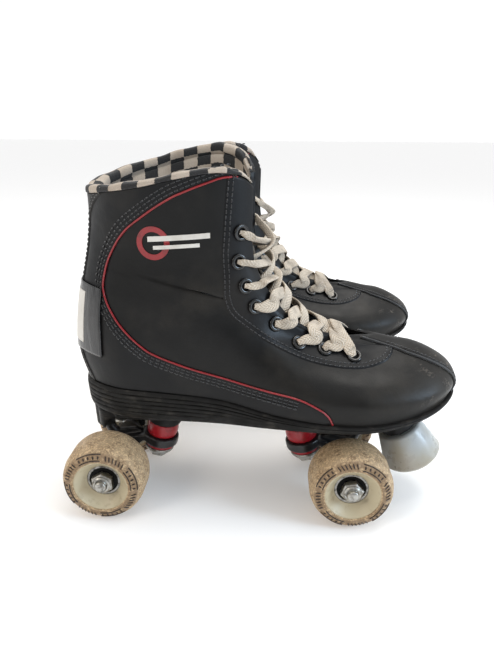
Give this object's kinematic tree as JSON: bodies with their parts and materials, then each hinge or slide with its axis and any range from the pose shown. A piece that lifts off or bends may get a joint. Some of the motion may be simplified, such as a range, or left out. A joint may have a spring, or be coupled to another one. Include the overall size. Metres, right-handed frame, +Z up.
{
  "type": "quad roller skates",
  "caption": "High laced quad roller skates: padded boots on sprung trucks that steer, spinning urethane wheels and a rubber toe stop.",
  "frame": {"origin": "on the floor, in the middle of the pair", "axes": "+X toward the toes, +Y toward the left skate, +Z up"},
  "size_m": [0.2579, 0.2422, 0.2327],
  "materials": {
    "black_vinyl": "satin black coated vinyl with fine grain",
    "check_lining": "brushed check fabric, cream and charcoal squares",
    "tongue_fabric": "black padded vinyl and fabric",
    "insole_fabric": "worn beige fabric",
    "sole_rubber": "matte black moulded rubber",
    "plate_nylon": "black glass-filled nylon",
    "lace_cotton": "cream flat woven cotton",
    "stop_rubber": "pale grey moulded rubber",
    "wheel_urethane": "tan cast urethane, soiled brown on the tread",
    "cushion_urethane": "red cast urethane",
    "hanger_paint": "black powder coat over cast aluminium",
    "zinc_steel": "zinc plated steel, lightly tarnished",
    "bearing_steel": "dull bearing steel"
  },
  "bodies": {
    "right_boot_and_plate": {"right_boot_upper": "black_vinyl", "right_collar_lining": "check_lining", "right_tongue": "tongue_fabric", "right_insole": "insole_fabric", "right_outsole": "sole_rubber", "right_base_plate": "plate_nylon", "right_lace": "lace_cotton", "right_toe_stop": "stop_rubber", "right_front_kingpin": "zinc_steel", "right_front_upper_cushion": "cushion_urethane", "right_front_lower_cushion": "cushion_urethane", "right_rear_kingpin": "zinc_steel", "right_rear_upper_cushion": "cushion_urethane", "right_rear_lower_cushion": "cushion_urethane"},
    "right_front_truck": {"right_front_hanger": "hanger_paint", "right_front_axle": "zinc_steel", "right_front_outer_nut": "zinc_steel", "right_front_inner_nut": "zinc_steel"},
    "right_front_outer_wheel": {"right_front_outer_wheel": "wheel_urethane", "right_front_outer_bearings": "bearing_steel"},
    "right_front_inner_wheel": {"right_front_inner_wheel": "wheel_urethane", "right_front_inner_bearings": "bearing_steel"},
    "right_rear_truck": {"right_rear_hanger": "hanger_paint", "right_rear_axle": "zinc_steel", "right_rear_outer_nut": "zinc_steel", "right_rear_inner_nut": "zinc_steel"},
    "right_rear_outer_wheel": {"right_rear_outer_wheel": "wheel_urethane", "right_rear_outer_bearings": "bearing_steel"},
    "right_rear_inner_wheel": {"right_rear_inner_wheel": "wheel_urethane", "right_rear_inner_bearings": "bearing_steel"},
    "left_boot_and_plate": {"left_boot_upper": "black_vinyl", "left_collar_lining": "check_lining", "left_tongue": "tongue_fabric", "left_insole": "insole_fabric", "left_outsole": "sole_rubber", "left_base_plate": "plate_nylon", "left_lace": "lace_cotton", "left_toe_stop": "stop_rubber", "left_front_kingpin": "zinc_steel", "left_front_upper_cushion": "cushion_urethane", "left_front_lower_cushion": "cushion_urethane", "left_rear_kingpin": "zinc_steel", "left_rear_upper_cushion": "cushion_urethane", "left_rear_lower_cushion": "cushion_urethane"},
    "left_front_truck": {"left_front_hanger": "hanger_paint", "left_front_axle": "zinc_steel", "left_front_outer_nut": "zinc_steel", "left_front_inner_nut": "zinc_steel"},
    "left_front_outer_wheel": {"left_front_outer_wheel": "wheel_urethane", "left_front_outer_bearings": "bearing_steel"},
    "left_front_inner_wheel": {"left_front_inner_wheel": "wheel_urethane", "left_front_inner_bearings": "bearing_steel"},
    "left_rear_truck": {"left_rear_hanger": "hanger_paint", "left_rear_axle": "zinc_steel", "left_rear_outer_nut": "zinc_steel", "left_rear_inner_nut": "zinc_steel"},
    "left_rear_outer_wheel": {"left_rear_outer_wheel": "wheel_urethane", "left_rear_outer_bearings": "bearing_steel"},
    "left_rear_inner_wheel": {"left_rear_inner_wheel": "wheel_urethane", "left_rear_inner_bearings": "bearing_steel"}
  },
  "joints": [
    {"name": "right_front_steer", "type": "hinge", "parent": "right_boot_and_plate", "child": "right_front_truck", "pos_m": [0.03, -0.066, 0.0335], "axis": [0.9648, 0, 0.2631], "range_deg": [-7, 7], "stiffness_Nm_per_rad": 12, "deforming": ["right_front_upper_cushion", "right_front_lower_cushion"]},
    {"name": "right_front_outer_wheel_spin", "type": "hinge", "parent": "right_front_truck", "child": "right_front_outer_wheel", "pos_m": [0.05895, -0.104, 0.027], "axis": [0, 1, 0], "continuous": true},
    {"name": "right_front_inner_wheel_spin", "type": "hinge", "parent": "right_front_truck", "child": "right_front_inner_wheel", "pos_m": [0.05895, -0.028, 0.027], "axis": [0, 1, 0], "continuous": true},
    {"name": "right_rear_steer", "type": "hinge", "parent": "right_boot_and_plate", "child": "right_rear_truck", "pos_m": [-0.073, -0.066, 0.0335], "axis": [-0.9648, 0, 0.2631], "range_deg": [-7, 7], "stiffness_Nm_per_rad": 12, "deforming": ["right_rear_upper_cushion", "right_rear_lower_cushion"]},
    {"name": "right_rear_outer_wheel_spin", "type": "hinge", "parent": "right_rear_truck", "child": "right_rear_outer_wheel", "pos_m": [-0.10195, -0.104, 0.027], "axis": [0, 1, 0], "continuous": true},
    {"name": "right_rear_inner_wheel_spin", "type": "hinge", "parent": "right_rear_truck", "child": "right_rear_inner_wheel", "pos_m": [-0.10195, -0.028, 0.027], "axis": [0, 1, 0], "continuous": true},
    {"name": "left_front_steer", "type": "hinge", "parent": "left_boot_and_plate", "child": "left_front_truck", "pos_m": [0.03, 0.066, 0.0335], "axis": [0.9648, 0, 0.2631], "range_deg": [-7, 7], "stiffness_Nm_per_rad": 12, "deforming": ["left_front_upper_cushion", "left_front_lower_cushion"]},
    {"name": "left_front_outer_wheel_spin", "type": "hinge", "parent": "left_front_truck", "child": "left_front_outer_wheel", "pos_m": [0.05895, 0.104, 0.027], "axis": [0, 1, 0], "continuous": true},
    {"name": "left_front_inner_wheel_spin", "type": "hinge", "parent": "left_front_truck", "child": "left_front_inner_wheel", "pos_m": [0.05895, 0.028, 0.027], "axis": [0, 1, 0], "continuous": true},
    {"name": "left_rear_steer", "type": "hinge", "parent": "left_boot_and_plate", "child": "left_rear_truck", "pos_m": [-0.073, 0.066, 0.0335], "axis": [-0.9648, 0, 0.2631], "range_deg": [-7, 7], "stiffness_Nm_per_rad": 12, "deforming": ["left_rear_upper_cushion", "left_rear_lower_cushion"]},
    {"name": "left_rear_outer_wheel_spin", "type": "hinge", "parent": "left_rear_truck", "child": "left_rear_outer_wheel", "pos_m": [-0.10195, 0.104, 0.027], "axis": [0, 1, 0], "continuous": true},
    {"name": "left_rear_inner_wheel_spin", "type": "hinge", "parent": "left_rear_truck", "child": "left_rear_inner_wheel", "pos_m": [-0.10195, 0.028, 0.027], "axis": [0, 1, 0], "continuous": true},
    {"name": "left_skate_slide", "type": "slide", "parent": "right_boot_and_plate", "child": "left_boot_and_plate", "axis": [1, 0, 0], "range_m": [-0.15, 0.15]}
  ]
}
